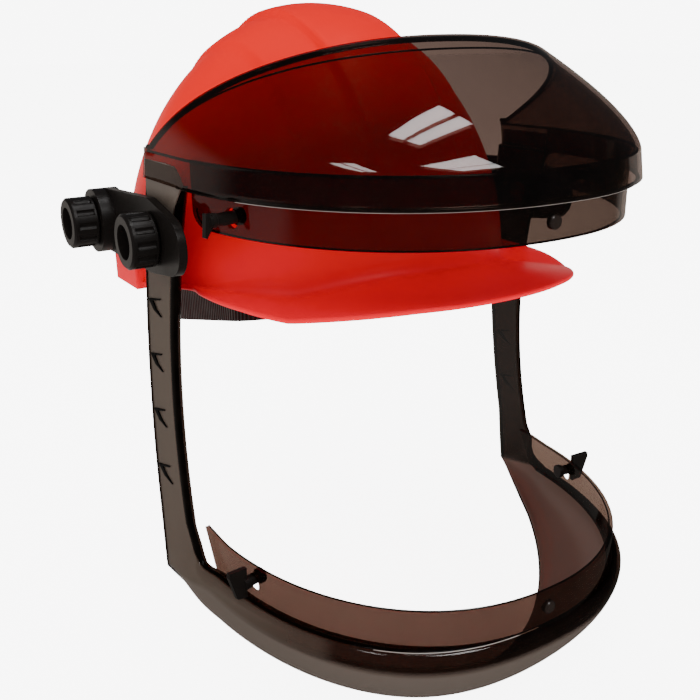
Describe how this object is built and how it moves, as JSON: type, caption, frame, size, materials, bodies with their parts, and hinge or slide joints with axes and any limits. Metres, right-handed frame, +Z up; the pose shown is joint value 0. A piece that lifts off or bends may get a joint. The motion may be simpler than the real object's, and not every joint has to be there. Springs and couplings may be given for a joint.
{
  "type": "hard hat face shield frame",
  "caption": "Smoke-tinted face shield frame with a brow visor, side arms and a chin guard, hung by swinging side links and clamp knobs on a peaked hard hat.",
  "frame": {"origin": "centre of the headband's opening, where the wearer's head passes up into it", "axes": "+Z up, the wearer looks along -Y, the wearer's right is -X"},
  "size_m": [0.3238, 0.372, 0.3834],
  "materials": {
    "smoke": "transparent smoke-brown, polished",
    "hat": "glossy orange-red moulding",
    "hardware": "satin black moulding",
    "band": "dark grey-green flexible plastic",
    "pad": "soft terry pad",
    "webbing": "woven webbing",
    "stud": "dark satin button",
    "washer": "matt black friction washer",
    "bolt": "bright steel"
  },
  "bodies": {
    "hat": {"hat_shell": "hat", "headband": "band", "brow_pad": "pad", "crown_strap_lower": "webbing", "crown_strap_upper": "webbing", "suspension_keys": "hardware", "ratchet_housing": "hardware", "right_slot_adapter": "hardware", "left_slot_adapter": "hardware", "right_clamp_bolt": "bolt", "left_clamp_bolt": "bolt"},
    "ratchet": {"ratchet_pinion": "hardware", "ratchet_knob": "hardware"},
    "right_tail": {"right_band_tail": "band"},
    "left_tail": {"left_band_tail": "band"},
    "side_links": {"right_link_plate": "hardware", "left_link_plate": "hardware", "right_friction_washer": "washer", "left_friction_washer": "washer"},
    "face_frame": {"brow_visor": "smoke", "top_window_flange": "smoke", "bottom_window_flange": "smoke", "chin_guard": "smoke", "right_arm": "smoke", "left_arm": "smoke", "top_centre_stud": "stud", "bottom_centre_stud": "stud", "right_pivot_bolt": "bolt", "left_pivot_bolt": "bolt"},
    "right_clamp": {"right_clamp_knob": "hardware"},
    "right_pivot": {"right_pivot_knob": "hardware"},
    "right_top_turn": {"right_top_fastener": "hardware"},
    "right_bottom_turn": {"right_bottom_fastener": "hardware"},
    "left_clamp": {"left_clamp_knob": "hardware"},
    "left_pivot": {"left_pivot_knob": "hardware"},
    "left_top_turn": {"left_top_fastener": "hardware"},
    "left_bottom_turn": {"left_bottom_fastener": "hardware"}
  },
  "joints": [
    {"name": "ratchet_turn", "type": "hinge", "parent": "hat", "child": "ratchet", "pos_m": [0, 0.09656, -0.02318], "axis": [0, 0.9724, -0.2334], "range_deg": [0, 81.8]},
    {"name": "right_tail_slide", "type": "slide", "parent": "hat", "child": "right_tail", "axis": [1, 0, 0], "range_m": [0, 0.006]},
    {"name": "left_tail_slide", "type": "slide", "parent": "hat", "child": "left_tail", "axis": [-1, 0, 0], "range_m": [0, 0.006]},
    {"name": "link_swing", "type": "hinge", "parent": "hat", "child": "side_links", "pos_m": [0, 0.0133, 0.0593], "axis": [-1, 0, 0], "range_deg": [0, 60]},
    {"name": "shield_lift", "type": "hinge", "parent": "side_links", "child": "face_frame", "pos_m": [0, -0.0637, 0.0606], "axis": [-1, 0, 0], "range_deg": [0, 38]},
    {"name": "right_clamp_turn", "type": "hinge", "parent": "hat", "child": "right_clamp", "pos_m": [-0.15, 0.0133, 0.0593], "axis": [-1, 0, 0], "continuous": true},
    {"name": "right_pivot_turn", "type": "hinge", "parent": "side_links", "child": "right_pivot", "pos_m": [-0.146, -0.0637, 0.0606], "axis": [-1, 0, 0], "continuous": true},
    {"name": "left_clamp_turn", "type": "hinge", "parent": "hat", "child": "left_clamp", "pos_m": [0.15, 0.0133, 0.0593], "axis": [1, 0, 0], "continuous": true},
    {"name": "left_pivot_turn", "type": "hinge", "parent": "side_links", "child": "left_pivot", "pos_m": [0.146, -0.0637, 0.0606], "axis": [1, 0, 0], "continuous": true},
    {"name": "right_top_fastener_turn", "type": "hinge", "parent": "face_frame", "child": "right_top_turn", "pos_m": [-0.11815, -0.12457, 0.0795], "axis": [-0.9735, -0.2288, 0], "range_deg": [0, 90]},
    {"name": "right_bottom_fastener_turn", "type": "hinge", "parent": "face_frame", "child": "right_bottom_turn", "pos_m": [-0.11913, -0.12963, -0.1226], "axis": [-0.9773, -0.2121, 0], "range_deg": [0, 90]},
    {"name": "left_top_fastener_turn", "type": "hinge", "parent": "face_frame", "child": "left_top_turn", "pos_m": [0.11815, -0.12457, 0.0795], "axis": [0.9735, -0.2288, 0], "range_deg": [0, 90]},
    {"name": "left_bottom_fastener_turn", "type": "hinge", "parent": "face_frame", "child": "left_bottom_turn", "pos_m": [0.11913, -0.12963, -0.1226], "axis": [0.9773, -0.2121, 0], "range_deg": [0, 90]}
  ],
  "couplings": [
    {"joint": "right_tail_slide", "follows": "ratchet_turn", "m_per_rad": 0.0042},
    {"joint": "left_tail_slide", "follows": "ratchet_turn", "m_per_rad": 0.0042}
  ]
}
